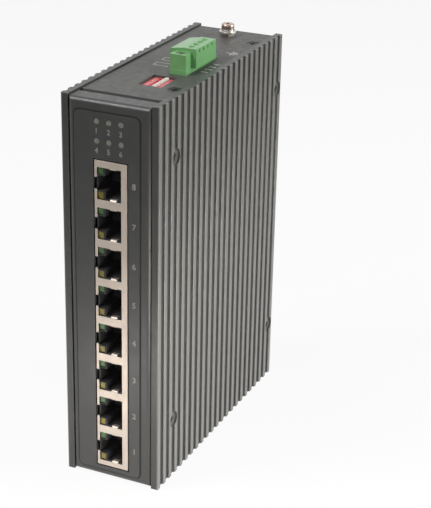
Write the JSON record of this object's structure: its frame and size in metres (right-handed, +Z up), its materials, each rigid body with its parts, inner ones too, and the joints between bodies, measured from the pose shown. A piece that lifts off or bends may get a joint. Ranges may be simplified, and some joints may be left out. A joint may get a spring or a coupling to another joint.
{
  "type": "din rail ethernet switch",
  "caption": "Tall narrow industrial network switch with ribbed metal sides, a column of front sockets, a DIP switch, plug-in terminal and earth screw on top and a rail clip behind.",
  "frame": {"origin": "middle of the bounding box's footprint, at the feet of the side shells", "axes": "+X to the right seen from the front, +Y from the front towards the rail, +Z up"},
  "size_m": [0.041, 0.1242, 0.1696],
  "materials": {
    "ribbed_aluminium": "satin anodised",
    "panel_paint": "satin dark grey",
    "cover_paint": "satin grey",
    "printed_film": "satin film",
    "tinned_sheet": "bright tinned",
    "black_moulding": "moulded",
    "contact_gold": "plated",
    "green_lens": "moulded lens",
    "yellow_lens": "moulded lens",
    "grey_lens": "moulded, frosted",
    "board_green": "solder resist",
    "brass_plated": "nickel plated",
    "black_screw": "blackened steel",
    "bright_screw": "zinc plated",
    "nickel": "nickel plated",
    "chip_black": "moulded",
    "bare_aluminium": "milled",
    "pad_grey": "soft",
    "dip_red": "moulded",
    "dip_white": "moulded",
    "terminal_green": "moulded",
    "clip_steel": "zinc plated",
    "foot_black": "moulded",
    "spring_steel": "drawn wire"
  },
  "bodies": {
    "case": {"board_link": "black_moulding", "capacitors": "black_moulding", "clip_plate": "clip_steel", "clip_screws": "bright_screw", "cover": "cover_paint", "dip_body": "dip_red", "earth_insert": "brass_plated", "earth_screw": "nickel", "earth_spring_washer": "nickel", "earth_washer": "nickel", "foot_spring": "spring_steel", "front_label": "printed_film", "front_panel": "panel_paint", "header_nuts": "brass_plated", "header_pins": "brass_plated", "heat_spreader": "bare_aluminium", "io_board": "board_green", "io_board_posts": "brass_plated", "io_board_screws": "bright_screw", "jack_contacts": "contact_gold", "jack_housing": "black_moulding", "jack_leds_green": "green_lens", "jack_leds_yellow": "yellow_lens", "jack_shield": "tinned_sheet", "led_board": "board_green", "left_side_shell": "ribbed_aluminium", "main_board": "board_green", "main_board_posts": "brass_plated", "main_board_screws": "bright_screw", "port_magnetics": "black_moulding", "right_side_shell": "ribbed_aluminium", "side_screws_left": "black_screw", "side_screws_right": "black_screw", "status_leds": "grey_lens", "status_light_pipe": "grey_lens", "switch_chip": "chip_black", "terminal_header": "terminal_green", "thermal_pad": "pad_grey", "top_screws": "black_screw"},
    "plug_unit": {"terminal_plug": "terminal_green", "wire_clamps": "brass_plated", "clamp_screws": "bright_screw", "flange_screws": "bright_screw"},
    "clip_foot": {"rail_foot": "foot_black"},
    "slider_1": {"dip_slider_1": "dip_white"},
    "slider_2": {"dip_slider_2": "dip_white"},
    "slider_3": {"dip_slider_3": "dip_white"},
    "slider_4": {"dip_slider_4": "dip_white"},
    "slider_5": {"dip_slider_5": "dip_white"}
  },
  "joints": [
    {"name": "dip_1_slide", "type": "slide", "parent": "case", "child": "slider_1", "axis": [1, 0, 0], "range_m": [-0.0021, 0]},
    {"name": "dip_2_slide", "type": "slide", "parent": "case", "child": "slider_2", "axis": [1, 0, 0], "range_m": [-0.0021, 0]},
    {"name": "dip_3_slide", "type": "slide", "parent": "case", "child": "slider_3", "axis": [1, 0, 0], "range_m": [-0.0021, 0]},
    {"name": "dip_4_slide", "type": "slide", "parent": "case", "child": "slider_4", "axis": [1, 0, 0], "range_m": [-0.0021, 0]},
    {"name": "dip_5_slide", "type": "slide", "parent": "case", "child": "slider_5", "axis": [1, 0, 0], "range_m": [-0.0021, 0]},
    {"name": "plug_pull_off", "type": "slide", "parent": "case", "child": "plug_unit", "axis": [0, 0, 1], "range_m": [0, 0.014]},
    {"name": "foot_release", "type": "slide", "parent": "case", "child": "clip_foot", "axis": [0, 0, 1], "range_m": [-0.004, 0], "stiffness_N_per_m": 500, "springref_m": 0.01, "deforming": ["foot_spring"]}
  ]
}
